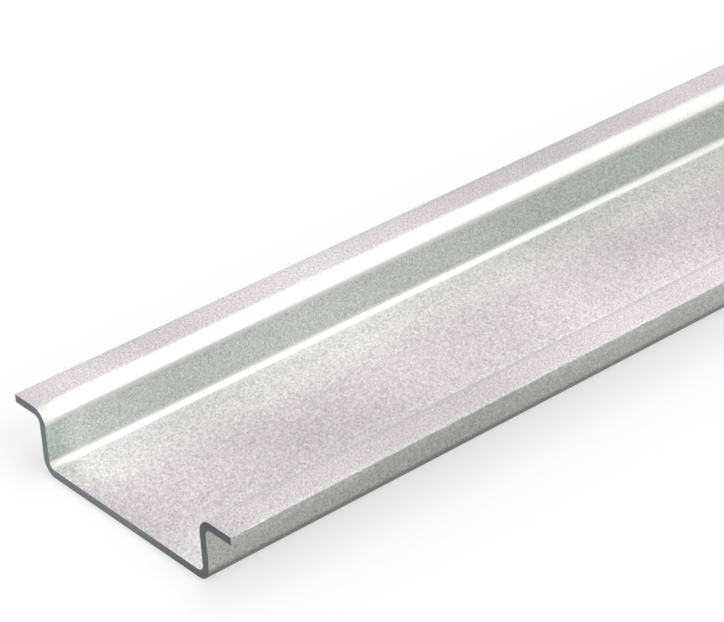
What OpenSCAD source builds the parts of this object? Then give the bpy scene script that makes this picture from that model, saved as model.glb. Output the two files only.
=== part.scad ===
// Top-hat mounting rail, EN 60715 form TH 35-7.5, unperforated: one roll-formed strip of
// galvanised steel, cut square at both ends. The rail lies on its back along X, with the
// channel's mouth up. The origin is at mid-length, on the centre line of the back face.

/* [Rail] */
// Length of the rail, end face to end face
rail_length = 1000; // [50:1:3000]
// Width over the two lips
rail_width = 35; // [33:0.5:60]
// Height from the back face to the top of the lips
rail_height = 7.5; // [6:0.5:25]
// Width of the channel over the outsides of its two side walls
channel_width = 27; // [14:0.5:28]

/* [Strip] */
// Thickness of the steel strip
strip_thickness = 1; // [0.6:0.1:1.5]
// Inside radius of all four bends
bend_radius = 0.8; // [0.2:0.1:1]

/* [Hidden] */

zinc_grey = [0.80, 0.80, 0.80];
// Sides of a full circle
segments = 96;

// Radius of a bend on the outer side of the strip
outer_radius = bend_radius + strip_thickness;
// Half of the flat web between the two lower bends
web_flat = channel_width / 2 - outer_radius;
// Height of the flat side wall between its two bends
wall_flat = rail_height - 2 * outer_radius;
// Distance from the centre line to the centre of an upper bend
lip_start = channel_width / 2 + bend_radius;
// Flat width of a lip, from its bend to the slit edge of the strip
lip_flat = rail_width / 2 - lip_start;

// A quarter turn of the strip about the local origin: a ring, of which a square that reaches
// well past it keeps the quadrant of +x and +y
module quarter_bend() {
    intersection() {
        difference() {
            circle(r = outer_radius, $fn = segments);
            circle(r = bend_radius, $fn = segments);
        }
        square(2 * outer_radius);
    }
}

// Half of the web, the flat bottom of the channel that lies against the panel
module half_web() {
    square([web_flat, strip_thickness]);
}

// Lower bend, which turns the web up into the side wall
module lower_bend() {
    translate([web_flat, outer_radius])
        mirror([0, 1])
            quarter_bend();
}

// Flat side wall of the channel
module side_wall() {
    translate([channel_width / 2 - strip_thickness, outer_radius])
        square([strip_thickness, wall_flat]);
}

// Upper bend, which turns the side wall outwards into the lip
module upper_bend() {
    translate([lip_start, rail_height - outer_radius])
        mirror([1, 0])
            quarter_bend();
}

// Flat lip that the devices' feet hook under
module lip() {
    translate([lip_start, rail_height - strip_thickness])
        square([lip_flat, strip_thickness]);
}

// One half of the section, from the centre line to the slit edge of the strip
module half_section() {
    half_web();
    lower_bend();
    side_wall();
    upper_bend();
    lip();
}

// The whole roll-formed section, in x across the rail and y up from its back face
module section() {
    half_section();
    mirror([1, 0])
        half_section();
}

// The rail itself: the section drawn out along X, centred on the origin
module rail() {
    color(zinc_grey)
        rotate([90, 0, 90])
            translate([0, 0, -rail_length / 2])
                linear_extrude(height = rail_length)
                    section();
}

rail();
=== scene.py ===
"""Looks of the top-hat mounting rail: one strip of galvanised steel, roll-formed and cut to length.

The rail lies on its back along X on a pale studio floor, and the camera looks down on its near
end, at low X. Places and sizes are in metres. Patterns are laid out in millimetres.
"""

import math

import bpy
from mathutils import Matrix, Vector


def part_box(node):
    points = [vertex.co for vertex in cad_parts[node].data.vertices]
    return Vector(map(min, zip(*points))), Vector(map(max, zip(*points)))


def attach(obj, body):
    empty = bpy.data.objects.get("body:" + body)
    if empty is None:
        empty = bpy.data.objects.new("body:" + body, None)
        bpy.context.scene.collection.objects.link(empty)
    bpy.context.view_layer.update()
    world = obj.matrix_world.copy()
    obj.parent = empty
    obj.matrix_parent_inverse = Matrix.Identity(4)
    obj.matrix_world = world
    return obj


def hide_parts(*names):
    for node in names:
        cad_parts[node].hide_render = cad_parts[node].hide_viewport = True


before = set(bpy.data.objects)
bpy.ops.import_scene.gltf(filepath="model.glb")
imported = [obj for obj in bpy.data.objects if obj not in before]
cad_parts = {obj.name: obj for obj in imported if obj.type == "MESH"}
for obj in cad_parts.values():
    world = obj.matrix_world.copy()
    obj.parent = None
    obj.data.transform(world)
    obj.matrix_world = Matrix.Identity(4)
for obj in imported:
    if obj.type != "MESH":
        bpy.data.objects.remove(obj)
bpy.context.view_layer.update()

MM = 0.001

# ---------------------------------------------------------------- sizes of the rail

LOW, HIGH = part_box("rail")
WIDTH = HIGH.y - LOW.y
HEIGHT = HIGH.z - LOW.z
STRIP = 1.0 * MM
INNER_BEND = 0.8 * MM
OUTER_BEND = INNER_BEND + STRIP
MIDDLE_BEND = INNER_BEND + STRIP / 2
CHANNEL = 27.0 * MM

# Rounding of the slit edges and of the cut ends, which the slitter and the shear leave
SLIT_ROUND = 0.10 * MM
END_CHAMFER = 0.04 * MM

# Slopes in degrees between which the shown face of a bend is burnished and painted bright as a
# highlight, and over which that and the painted shade of the hidden bends set in
HIGHLIGHT_SLOPES = (7, 92)
FADE = 22
# The front lip's bend has this share of the burnish and its painted highlight
FRONT_HIGHLIGHT = 0.3
# How far from the centre line the channel floor's painted reflection begins, and where it is full: at
# the bend
SHEEN_START = 3.0 * MM
SHEEN_FULL = CHANNEL / 2 - OUTER_BEND
# How much painted shade the hidden faces of the side walls get, and how much of the side walls'
# darker, greener colour, itself painted shade
WALL_PAINTED_SHADE = 0.33
HIDDEN_TINT = 0.5

# How finely the strip is divided
BEND_STEPS = 16
SLIT_STEPS = 3
WEB_STEP = 1.3 * MM
LIP_STEP = 0.8 * MM
RING_STEP = 5.0 * MM

# ---------------------------------------------------------------- the photograph's view

AZIMUTH = math.radians(-38.51)
ELEVATION = math.radians(30.97)
ROLL = math.radians(-3.49)
LENS = 158.5
AIM = Vector((LOW.x + 42.8 * MM, 14.7 * MM, 0.0))
DISTANCE = 344.1 * MM


# ---------------------------------------------------------------- the strip's path

def straight(start, end, normal, step):
    """Points of a flat stretch of the strip's middle line, with the normal of its shown face."""
    count = max(1, round((end - start).length / step))
    return [(start.lerp(end, i / count), normal) for i in range(count + 1)]


def bend(centre, first, last, facing):
    """Points of a bend. The shown face is outside (facing 1) or inside (facing -1) of it."""
    found = []
    for i in range(BEND_STEPS + 1):
        angle = math.radians(first + (last - first) * i / BEND_STEPS)
        radial = Vector((math.cos(angle), math.sin(angle)))
        found.append((centre + radial * MIDDLE_BEND, radial * facing))
    return found


def half_path():
    """The strip's middle line from the rail's centre to a slit edge: (point, normal)."""
    web_end = CHANNEL / 2 - OUTER_BEND
    lip_start = CHANNEL / 2 + INNER_BEND
    wall_y = CHANNEL / 2 - STRIP / 2
    wall_low, wall_high = OUTER_BEND, HEIGHT - OUTER_BEND
    lip_z = HEIGHT - STRIP / 2
    up, inward = Vector((0.0, 1.0)), Vector((-1.0, 0.0))
    parts = [
        straight(Vector((0.0, STRIP / 2)), Vector((web_end, STRIP / 2)), up, WEB_STEP),
        bend(Vector((web_end, wall_low)), -90, 0, -1),
        straight(Vector((wall_y, wall_low)), Vector((wall_y, wall_high)), inward, LIP_STEP),
        bend(Vector((lip_start, wall_high)), 180, 90, 1),
        straight(Vector((lip_start, lip_z)), Vector((WIDTH / 2 - SLIT_ROUND, lip_z)), up, LIP_STEP),
    ]
    path = list(parts[0])
    for part in parts[1:]:
        path += part[1:]
    return path


def whole_path():
    """The middle line from one slit edge to the other."""
    right = half_path()
    mirrored = [(Vector((-p.x, p.y)), Vector((-n.x, n.y))) for p, n in right]
    return mirrored[:0:-1] + right


def slit_edge(side, shrink):
    """Rounded edge of the strip, from its shown face round to its hidden one."""
    radius = SLIT_ROUND - shrink
    centre_y = WIDTH / 2 - SLIT_ROUND
    found = []
    for corner_z, first in ((HEIGHT - SLIT_ROUND, 90), (HEIGHT - STRIP + SLIT_ROUND, 0)):
        for i in range(SLIT_STEPS + 1):
            angle = math.radians(first - 90 * i / SLIT_STEPS)
            y = centre_y + radius * math.cos(angle)
            found.append(Vector((side * y, corner_z + radius * math.sin(angle))))
    return found


def section_ring(shrink=0.0):
    """The section's outline, all of it drawn in by shrink: shown face, edge, hidden face, edge."""
    half = STRIP / 2 - shrink
    shown = [p + n * half for p, n in whole_path()]
    hidden = [p - n * half for p, n in whole_path()]
    right = slit_edge(1, shrink)[1:-1]
    left = slit_edge(-1, shrink)[1:-1]
    return shown + right + hidden[::-1] + left[::-1]


# ---------------------------------------------------------------- painted light and shade of the strip, and its gloss

def ease(share):
    """From 0 to 1 as share does, smoothly at both ends, and held outside them."""
    share = min(1.0, max(0.0, share))
    return share * share * (3 - 2 * share)


def slope(normal):
    """Angle of the face from level, in degrees: 0 on the flats, 90 on the side walls."""
    return math.degrees(math.atan2(abs(normal.x), abs(normal.y)))


def upright(normal):
    """1 on the side walls, falling to 0 round the bends."""
    return normal.x ** 2


def burnish_highlight(point, normal):
    """How much the shown face is burnished round its bends, glossier there, and painted bright as a
    highlight.
    """
    low, high = HIGHLIGHT_SLOPES
    strength = FRONT_HIGHLIGHT if point.x < 0 and point.y > HEIGHT / 2 else 1.0
    return strength * ease((slope(normal) - low) / FADE) * ease((high - slope(normal)) / FADE)


def painted_reflection(point, normal):
    """How much painted reflection the channel floor gets: none along its middle, and more towards the
    bends.
    """
    if point.y > HEIGHT / 2:
        return 0.0
    return ease((abs(point.x) - SHEEN_START) / (SHEEN_FULL - SHEEN_START)) * normal.y ** 2


def painted_shade(point, normal):
    """How much painted shade the hidden face gets: most round the lower bends, by the floor, and some
    up the side walls.
    """
    wall = WALL_PAINTED_SHADE * upright(normal)
    if point.y > HEIGHT / 2:
        return wall
    corner = ease(slope(normal) / FADE) * ease((90 - slope(normal)) / FADE)
    return corner + (1 - corner) * wall


# ---------------------------------------------------------------- mesh of the rail

ZINC, CUT_END, SLIT_EDGE = range(3)


def ring_places():
    """Where the rings stand along X, and how much each is drawn in."""
    inner_low, inner_high = LOW.x + END_CHAMFER, HIGH.x - END_CHAMFER
    count = round((inner_high - inner_low) / RING_STEP)
    inner = [(inner_low + (inner_high - inner_low) * i / count, 0.0) for i in range(count + 1)]
    return [(LOW.x, END_CHAMFER)] + inner + [(HIGH.x, END_CHAMFER)]


def end_faces(first, along, edge, turned):
    """Faces of a cut end: one for each step along the strip, and one at each slit edge."""
    loop = 2 * (along + edge)
    hidden = along + edge
    faces = []
    for i in range(along - 1):
        low = hidden + along - 1 - i
        faces.append([i, i + 1, low - 1, low])
    faces.append([along - 1, *range(along, hidden + 1)])
    faces.append([hidden + along - 1, *range(hidden + along, loop), 0])
    faces = [[first + v for v in face] for face in faces]
    return [face[::-1] for face in faces] if turned else faces


def build_rail():
    """The rail's mesh: the section's outline, repeated in rings along X and closed at both ends."""
    path = whole_path()
    along = len(path)
    outlines = {shrink: section_ring(shrink) for shrink in (0.0, END_CHAMFER)}
    size = len(outlines[0.0])
    edge = size // 2 - along
    places = ring_places()
    verts = [(x, p.x, p.y) for x, shrink in places for p in outlines[shrink]]
    faces, slots = [], []
    slit = set(range(along - 1, along + edge)) | set(range(size - edge - 1, size))
    for r in range(len(places) - 1):
        for i in range(size):
            j = (i + 1) % size
            a, b = r * size, (r + 1) * size
            faces.append((a + i, b + i, b + j, a + j))
            slots.append(SLIT_EDGE if i in slit else ZINC)
    for first, turned in ((0, True), ((len(places) - 1) * size, False)):
        caps = end_faces(first, along, edge, turned)
        faces += caps
        slots += [CUT_END] * len(caps)
    mesh = bpy.data.meshes.new("rail_strip")
    mesh.from_pydata(verts, [], faces)
    mesh.polygons.foreach_set("material_index", slots)
    mesh.polygons.foreach_set("use_smooth", [slot != CUT_END for slot in slots])
    plain, at_edge = [0.0] * along, [0.0] * edge
    walls = [upright(normal) for point, normal in path]
    # Painted light and shade held at the points: the side walls' and hidden faces' painted shade, the
    # bends' painted highlight, the channel floor's painted reflection
    painted_light_masks = {
        "upright": (walls, [HIDDEN_TINT * wall for wall in walls]),
        "burnish_highlight": ([burnish_highlight(*spot) for spot in path], plain),
        "painted_reflection": ([painted_reflection(*spot) for spot in path], plain),
        "painted_shade": (plain, [painted_shade(*spot) for spot in path]),
    }
    for name, (shown, hidden) in painted_light_masks.items():
        outline = shown + at_edge + hidden[::-1] + at_edge
        mesh.attributes.new(name, "FLOAT", "POINT").data.foreach_set("value", outline * len(places))
    mesh.update()
    return mesh


# ---------------------------------------------------------------- material helpers

def node(tree, kind, inputs=None, **settings):
    """A new node. Each input is a value, or the output socket that feeds it."""
    made = tree.nodes.new(kind)
    for name, value in settings.items():
        setattr(made, name, value)
    for name, value in (inputs or {}).items():
        if isinstance(value, bpy.types.NodeSocket):
            tree.links.new(value, made.inputs[name])
        else:
            made.inputs[name].default_value = value
    return made


def new_material(name):
    """A material with an empty tree, and its output node."""
    material = bpy.data.materials.new(name)
    material.use_nodes = True
    tree = material.node_tree
    tree.nodes.clear()
    return material, tree, tree.nodes.new("ShaderNodeOutputMaterial")


def in_mm(tree, stretch=(1.0, 1.0, 1.0), shift=(0.0, 0.0, 0.0), turn=0.0):
    """Object coordinates in millimetres, shifted, turned about Z and drawn out along each axis."""
    place = node(tree, "ShaderNodeTexCoord").outputs["Object"]
    inputs = {
        "Vector": place,
        "Location": [-MM * s for s in shift],
        "Rotation": (0.0, 0.0, turn),
        "Scale": [MM * s for s in stretch],
    }
    return node(tree, "ShaderNodeMapping", inputs, vector_type="TEXTURE").outputs["Vector"]


def noise(tree, place, size_mm, detail=2.0, roughness=0.5, dimensions="3D"):
    """Noise whose lumps are about size_mm apart, as a value from 0 to 1."""
    inputs = {"Vector": place, "Scale": 1 / size_mm, "Detail": detail, "Roughness": roughness}
    return node(tree, "ShaderNodeTexNoise", inputs, noise_dimensions=dimensions).outputs["Fac"]


def ramp(tree, value, low, high, to_low, to_high):
    """The value, mapped from low..high to to_low..to_high and held at both."""
    inputs = {"Value": value, "From Min": low, "From Max": high, "To Min": to_low, "To Max": to_high}
    return node(tree, "ShaderNodeMapRange", inputs).outputs["Result"]


def maths(tree, operation, a, b):
    """a and b joined by a Math node."""
    return node(tree, "ShaderNodeMath", {0: a, 1: b}, operation=operation).outputs["Value"]


def mix_values(tree, share, a, b):
    """Value a, going over to b with share."""
    made = node(tree, "ShaderNodeMix", {0: share, 2: a, 3: b}, data_type="FLOAT")
    return made.outputs[0]


def mix_colours(tree, share, a, b, blend="MIX"):
    """Colour a, going over to b with share, or to the two blended in another way."""
    inputs = {"Factor": share, "A": a, "B": b}
    made = node(tree, "ShaderNodeMix", data_type="RGBA", blend_type=blend)
    sockets = {"Factor": made.inputs[0], "A": made.inputs[6], "B": made.inputs[7]}
    for name, value in inputs.items():
        if isinstance(value, bpy.types.NodeSocket):
            tree.links.new(value, sockets[name])
        else:
            sockets[name].default_value = value
    return made.outputs[2]


def scale_colour(tree, colour, factor):
    """The colour, as many times as bright."""
    inputs = {0: colour, "Scale": factor}
    return node(tree, "ShaderNodeVectorMath", inputs, operation="SCALE").outputs["Vector"]


def glossy_surface(tree, output, colour, roughness, bump):
    """The material's Principled surface, put on its output."""
    inputs = {"Base Color": colour, "Roughness": roughness, "Normal": bump.outputs["Normal"]}
    shader = node(tree, "ShaderNodeBsdfPrincipled", inputs)
    tree.links.new(shader.outputs["BSDF"], output.inputs["Surface"])
    return shader


# ---------------------------------------------------------------- materials

# The coat on the flats; on the side walls, darker and greener as painted shade; on the bends, bright
# as a painted highlight; by them on the channel floor, paler as a painted reflection; and on the
# hidden faces, dark as painted shade
ZINC_WARM = (0.609, 0.566, 0.586, 1.0)
ZINC_COOL = (0.482, 0.526, 0.488, 1.0)
ZINC_BRIGHT = (0.785, 0.79, 0.76, 1.0)
ZINC_REFLECTION = (0.88, 0.865, 0.86, 1.0)
ZINC_SHADED = (0.17, 0.172, 0.167, 1.0)

# How far the painted reflection takes the channel floor to its colour
SHEEN_DEPTH = 0.74

# Clouds in the coat, partly its uneven tone and partly painted reflection and light: how far apart
# they are and where in the noise they are taken from, both in millimetres, and how bright the darkest
# and the palest are. The place was picked so that they lie much as in the photograph.
CLOUD_SIZE = 42.0
CLOUD_SHIFT = (3312.0, 2368.0, 0.0)
CLOUD_DARK = 0.81
CLOUD_PALE = 1.14
# How much of them is missing on the side walls and on the bends' burnish and painted highlight
WALL_STEADY = 0.85
BEND_STEADY = 0.8

# How bright the coat is at the foot and the head of the side walls, and the heights between which
# that changes, in millimetres. It evens out the light that the channel floor throws on them.
WALL_FOOT = 0.90
WALL_HEAD = 1.04
WALL_SPAN = (1.6, 6.0)

# Rolling lines along the burnished bends: how far apart, in millimetres, how drawn out, how strong
LINE_SPACING = 0.35
LINE_STRETCH = (150.0, 1.0, 1.0)
LINE_DEPTH = 0.07

# The zinc's grain: its size in millimetres and how far it darkens and lightens the coat, on the
# flats and on the side walls
GRAIN_SIZE = 0.22
GRAIN_DEPTH = 0.415
WALL_GRAIN = 0.51
# It is drawn out, and turned from X, so that it looks round from the photograph's side
GRAIN_STRETCH = (1.6, 1.0, 1.0)
GRAIN_TURN = math.radians(50)
# The burnish and painted highlight at which no grain is left
GRAIN_GONE = 0.5

# The coat's tint, which changes a little from place to place, over so many millimetres
TINT_SIZE = 1.6
TINT_PINK = (1.005, 0.995, 1.0, 1.0)
TINT_GREEN = (0.995, 1.005, 1.0, 1.0)

# Relief of the coat: its size in millimetres, its depth, and the share left on the bends' burnish and
# painted highlight
RELIEF_SIZE = 0.25
RELIEF_DEPTH = 0.03 * MM
RELIEF_LEFT = 0.25
# Gloss of the coat: roughness over the relief, what fine scratches along X and burnish change
ZINC_ROUGHNESS = (0.33, 0.43)
SCRATCH_SIZE = 0.5
SCRATCH_STRETCH = (60.0, 1.0, 1.0)
SCRATCH_ROUGHNESS = 0.02
BURNISH_GLOSS = 0.06


def attribute(tree, name):
    """One of the values that the rail's mesh holds at its points, which mark its painted light and
    shade.
    """
    return node(tree, "ShaderNodeAttribute", attribute_name=name).outputs["Fac"]


def clouds(tree, steady=0.0):
    """Broad darker and paler places: partly the coat's uneven tone, partly painted reflection and
    light. Where it is steady, they don't show.
    """
    lumps = noise(tree, in_mm(tree, shift=CLOUD_SHIFT), CLOUD_SIZE, 2.0, 0.6, "2D")
    return mix_values(tree, steady, ramp(tree, lumps, 0.2, 0.7, CLOUD_DARK, CLOUD_PALE), 1.0)


def grain_shade(tree, walls=0.0, smooth=0.0):
    """How dark or light each grain makes the surface. Where it is smooth, the grains don't show."""
    lumps = noise(tree, in_mm(tree, GRAIN_STRETCH, turn=GRAIN_TURN), GRAIN_SIZE, 0.5)
    depth = mix_values(tree, walls, GRAIN_DEPTH, WALL_GRAIN)
    shade = maths(tree, "MULTIPLY", ramp(tree, lumps, 0.0, 1.0, -1.0, 1.0), depth)
    return mix_values(tree, smooth, maths(tree, "ADD", shade, 1.0), 1.0)


def wall_shade(tree, walls):
    """The side walls' coat is darker towards their foot."""
    height = node(tree, "ShaderNodeSeparateXYZ", {"Vector": in_mm(tree)}).outputs["Z"]
    return mix_values(tree, walls, 1.0, ramp(tree, height, *WALL_SPAN, WALL_FOOT, WALL_HEAD))


def rolling_lines(tree, burnish_and_highlight):
    """Fine lines along the bends' burnish and painted highlight."""
    lines = noise(tree, in_mm(tree, LINE_STRETCH), LINE_SPACING, 2.0)
    shade = ramp(tree, lines, 0.3, 0.7, 1 - LINE_DEPTH, 1 + LINE_DEPTH)
    return mix_values(tree, burnish_and_highlight, 1.0, shade)


def tint(tree):
    """The coat's slight changes between a pinkish and a greenish grey."""
    share = ramp(tree, noise(tree, in_mm(tree), TINT_SIZE, 1.0), 0.3, 0.7, 0.0, 1.0)
    return mix_colours(tree, share, TINT_PINK, TINT_GREEN)


def zinc_colour(tree, burnish_and_highlight, walls):
    """The coat's colour, with painted shade on the side walls and hidden faces, a painted highlight on
    the bends and a painted reflection by them, and its tint, clouds, grain and lines.
    """
    # The side walls get a darker, greener colour: painted shade
    colour = mix_colours(tree, walls, ZINC_WARM, ZINC_COOL)
    # The channel floor by the bends is painted paler: a painted reflection
    reflection_share = maths(tree, "MULTIPLY", attribute(tree, "painted_reflection"), SHEEN_DEPTH)
    colour = mix_colours(tree, reflection_share, colour, ZINC_REFLECTION)
    # The bends are painted bright here: a painted highlight, on top of their burnish
    colour = mix_colours(tree, burnish_and_highlight, colour, ZINC_BRIGHT)
    # The hidden faces are painted dark round the lower bends and up the side walls: painted shade
    colour = mix_colours(tree, attribute(tree, "painted_shade"), colour, ZINC_SHADED)
    colour = mix_colours(tree, 1.0, colour, tint(tree), "MULTIPLY")
    steady_walls = maths(tree, "MULTIPLY", walls, WALL_STEADY)
    steady_bends = maths(tree, "MULTIPLY", burnish_and_highlight, BEND_STEADY)
    shades = (
        clouds(tree, maths(tree, "MAXIMUM", steady_walls, steady_bends)),
        grain_shade(tree, walls, ramp(tree, burnish_and_highlight, 0.0, GRAIN_GONE, 0.0, 1.0)),
        wall_shade(tree, walls),
        rolling_lines(tree, burnish_and_highlight),
    )
    for shade in shades:
        colour = scale_colour(tree, colour, shade)
    return colour


def zinc_roughness(tree, relief, burnish_and_highlight):
    """The coat's roughness: uneven, with fine scratches along the rail, less where burnished."""
    scratches = noise(tree, in_mm(tree, SCRATCH_STRETCH), SCRATCH_SIZE, 3.0)
    change = ramp(tree, scratches, 0.3, 0.7, -SCRATCH_ROUGHNESS, SCRATCH_ROUGHNESS)
    roughness = maths(tree, "ADD", ramp(tree, relief, 0.3, 0.7, *ZINC_ROUGHNESS), change)
    return maths(tree, "SUBTRACT", roughness, maths(tree, "MULTIPLY", burnish_and_highlight, BURNISH_GLOSS))


def zinc_coat():
    """Galvanised strip: a fine matt grain, soft clouds, glossier bends painted bright as a highlight,
    and painted shade on the outsides.
    """
    material, tree, output = new_material("zinc_coat")
    burnish_and_highlight, walls = attribute(tree, "burnish_highlight"), attribute(tree, "upright")
    relief = noise(tree, in_mm(tree), RELIEF_SIZE, 2.0)
    strength = ramp(tree, burnish_and_highlight, 0.0, GRAIN_GONE, 1.0, RELIEF_LEFT)
    inputs = {"Height": relief, "Strength": strength, "Distance": RELIEF_DEPTH}
    bump = node(tree, "ShaderNodeBump", inputs)
    colour = zinc_colour(tree, burnish_and_highlight, walls)
    shader = glossy_surface(tree, output, colour, zinc_roughness(tree, relief, burnish_and_highlight), bump)
    shader.inputs["Metallic"].default_value = 0.65
    return material


# Bare steel of the cut ends, towards the back lip and at the front one; darker to the front as painted
# shade
STEEL_BACK = (0.206, 0.222, 0.228, 1.0)
STEEL_FRONT = (0.124, 0.135, 0.140, 1.0)
# Where across the section the one goes over to the other, in millimetres
STEEL_CHANGE = (-14.0, -1.0)
# How bright it is at the top of the section against its foot, darker there as painted shade, and the
# heights between, in millimetres
STEEL_TOP = 0.8
STEEL_HEIGHTS = (2.0, 7.0)
# The shear's marks: size in millimetres, how drawn out, how strong and how deep
MARK_SIZE = 0.5
MARK_STRETCH = (1.0, 0.12, 1.2)
MARK_SHADE = 0.16
MARK_DEPTH = 0.02 * MM


def cut_steel():
    """Bare steel of the cut ends: dull, with painted shade darker to the front and towards the top,
    and the shear's marks across it.
    """
    material, tree, output = new_material("cut_steel")
    place = in_mm(tree)
    marks = noise(tree, in_mm(tree, MARK_STRETCH), MARK_SIZE, 3.0)
    share = maths(tree, "MULTIPLY", marks, noise(tree, place, 0.2, 2.0))
    spot = node(tree, "ShaderNodeSeparateXYZ", {"Vector": place}).outputs
    across = ramp(tree, spot["Y"], *STEEL_CHANGE, 0.0, 1.0)
    # Painted shade: darker to the front here, and towards the top below
    colour = mix_colours(tree, across, STEEL_FRONT, STEEL_BACK)
    colour = scale_colour(tree, colour, ramp(tree, spot["Z"], *STEEL_HEIGHTS, 1.0, STEEL_TOP))
    marked = ramp(tree, share, 0.1, 0.45, 1 - MARK_SHADE, 1 + MARK_SHADE)
    colour = scale_colour(tree, colour, marked)
    bump = node(tree, "ShaderNodeBump", {"Height": share, "Strength": 0.6, "Distance": MARK_DEPTH})
    shader = glossy_surface(tree, output, colour, 0.6, bump)
    shader.inputs["Specular IOR Level"].default_value = 0.2
    return material


# The slit edges: their two greys, and the streaks of smeared zinc in them
SLIT_DARK = (0.37, 0.375, 0.36, 1.0)
SLIT_PALE = (0.46, 0.465, 0.45, 1.0)
STREAK_SIZE = 0.4
STREAK_STRETCH = (4.0, 1.0, 1.0)
STREAK_DEPTH = 0.02 * MM


def slit_steel():
    """Slit edges of the strip: a little darker than the coat, where zinc is only smeared over."""
    material, tree, output = new_material("slit_steel")
    streaks = noise(tree, in_mm(tree, STREAK_STRETCH), STREAK_SIZE, 3.0)
    colour = mix_colours(tree, ramp(tree, streaks, 0.3, 0.7, 0.0, 1.0), SLIT_DARK, SLIT_PALE)
    for shade in (clouds(tree), grain_shade(tree)):
        colour = scale_colour(tree, colour, shade)
    bump = node(tree, "ShaderNodeBump", {"Height": streaks, "Strength": 0.5, "Distance": STREAK_DEPTH})
    shader = glossy_surface(tree, output, colour, 0.38, bump)
    shader.inputs["Metallic"].default_value = 1.0
    return material


# ---------------------------------------------------------------- the rail

def make_rail():
    """The dressed rail, which stands for the CAD node."""
    rail = bpy.data.objects.new("rail_strip", build_rail())
    bpy.context.scene.collection.objects.link(rail)
    for material in (zinc_coat(), cut_steel(), slit_steel()):
        rail.data.materials.append(material)
    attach(rail, "root")
    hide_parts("rail")
    return rail


# ---------------------------------------------------------------- studio

FLOOR_SIZE = 60.0
FLOOR_DROP = 0.02 * MM
FLOOR_WHITE = (0.93, 0.93, 0.93, 1.0)
# How far the floor is plain white to rays that show it. The rest of it takes the shadow.
FLOOR_GLOW = 0.6
ROOM_WHITE = (1.0, 1.0, 1.0, 1.0)
# How strongly the room lights the rail
FILL_STRENGTH = 0.72

# Soft lights: name, compass angle from +X, elevation and width in degrees, strength
LIGHTS = (
    ("overhead", 0, 72, 30, 0.51),
    ("front", 285, 28, 44, 0.53),
    ("front_high", 280, 50, 26, 0.45),
    ("right", 320, 50, 26, 0.06),
    ("back", 40, 50, 26, 0.12),
)


def seen_ray(tree):
    """1 for a ray that shows the studio, straight or in metal or glass, and 0 for one that lights."""
    rays = node(tree, "ShaderNodeLightPath").outputs
    mirrored = maths(tree, "MAXIMUM", rays["Is Glossy Ray"], rays["Is Transmission Ray"])
    return maths(tree, "MAXIMUM", rays["Is Camera Ray"], mirrored)


def make_floor():
    """White floor, a hair below the rail so that the two faces don't meet, with a light shadow."""
    half = FLOOR_SIZE / 2
    z = LOW.z - FLOOR_DROP
    mesh = bpy.data.meshes.new("floor")
    corners = [(-half, -half, z), (half, -half, z), (half, half, z), (-half, half, z)]
    mesh.from_pydata(corners, [], [(0, 1, 2, 3)])
    material, tree, output = new_material("floor_white")
    matt = node(tree, "ShaderNodeBsdfDiffuse", {"Color": FLOOR_WHITE})
    white = node(tree, "ShaderNodeEmission", {"Color": ROOM_WHITE})
    share = maths(tree, "MULTIPLY", seen_ray(tree), FLOOR_GLOW)
    shader = node(tree, "ShaderNodeMixShader", {0: share, 1: matt.outputs[0], 2: white.outputs[0]})
    tree.links.new(shader.outputs["Shader"], output.inputs["Surface"])
    mesh.materials.append(material)
    floor = bpy.data.objects.new("floor", mesh)
    bpy.context.scene.collection.objects.link(floor)


def make_world():
    """A pale room: white where it is seen, also in metal and glass. It lights the rest softly."""
    world = bpy.data.worlds.new("studio")
    world.use_nodes = True
    tree = world.node_tree
    tree.nodes.clear()
    output = tree.nodes.new("ShaderNodeOutputWorld")
    strength = ramp(tree, seen_ray(tree), 0.0, 1.0, FILL_STRENGTH, 1.0)
    background = node(tree, "ShaderNodeBackground", {"Color": ROOM_WHITE, "Strength": strength})
    tree.links.new(background.outputs["Background"], output.inputs["Surface"])
    bpy.context.scene.world = world


def make_lamps():
    """Wide soft lights, far enough away to light the whole rail alike."""
    for name, compass, elevation, width, strength in LIGHTS:
        light = bpy.data.lights.new(name, "SUN")
        light.energy = strength
        light.angle = math.radians(width)
        lamp = bpy.data.objects.new(name, light)
        around, up = math.radians(compass), math.radians(elevation)
        level = math.cos(up)
        towards = Vector((math.cos(around) * level, math.sin(around) * level, math.sin(up)))
        lamp.rotation_mode = "QUATERNION"
        lamp.rotation_quaternion = towards.to_track_quat("Z", "Y")
        bpy.context.scene.collection.objects.link(lamp)


def make_camera():
    """The camera at the photograph's angle, rolled about its own axis."""
    back = Vector((
        math.sin(AZIMUTH) * math.cos(ELEVATION),
        -math.cos(AZIMUTH) * math.cos(ELEVATION),
        math.sin(ELEVATION),
    ))
    level = Vector((math.cos(AZIMUTH), math.sin(AZIMUTH), 0.0))
    unrolled = back.cross(level)
    right = level * math.cos(ROLL) + unrolled * math.sin(ROLL)
    up = back.cross(right)
    data = bpy.data.cameras.new("camera")
    data.lens = LENS
    data.clip_start = DISTANCE / 100
    data.clip_end = FLOOR_SIZE
    camera = bpy.data.objects.new("camera", data)
    turn = Matrix((right, up, back)).transposed().to_4x4()
    camera.matrix_world = Matrix.Translation(AIM + back * DISTANCE) @ turn
    bpy.context.scene.collection.objects.link(camera)
    bpy.context.scene.camera = camera


make_camera()
make_rail()
make_floor()
make_world()
make_lamps()
bpy.context.scene.view_settings.view_transform = "Standard"
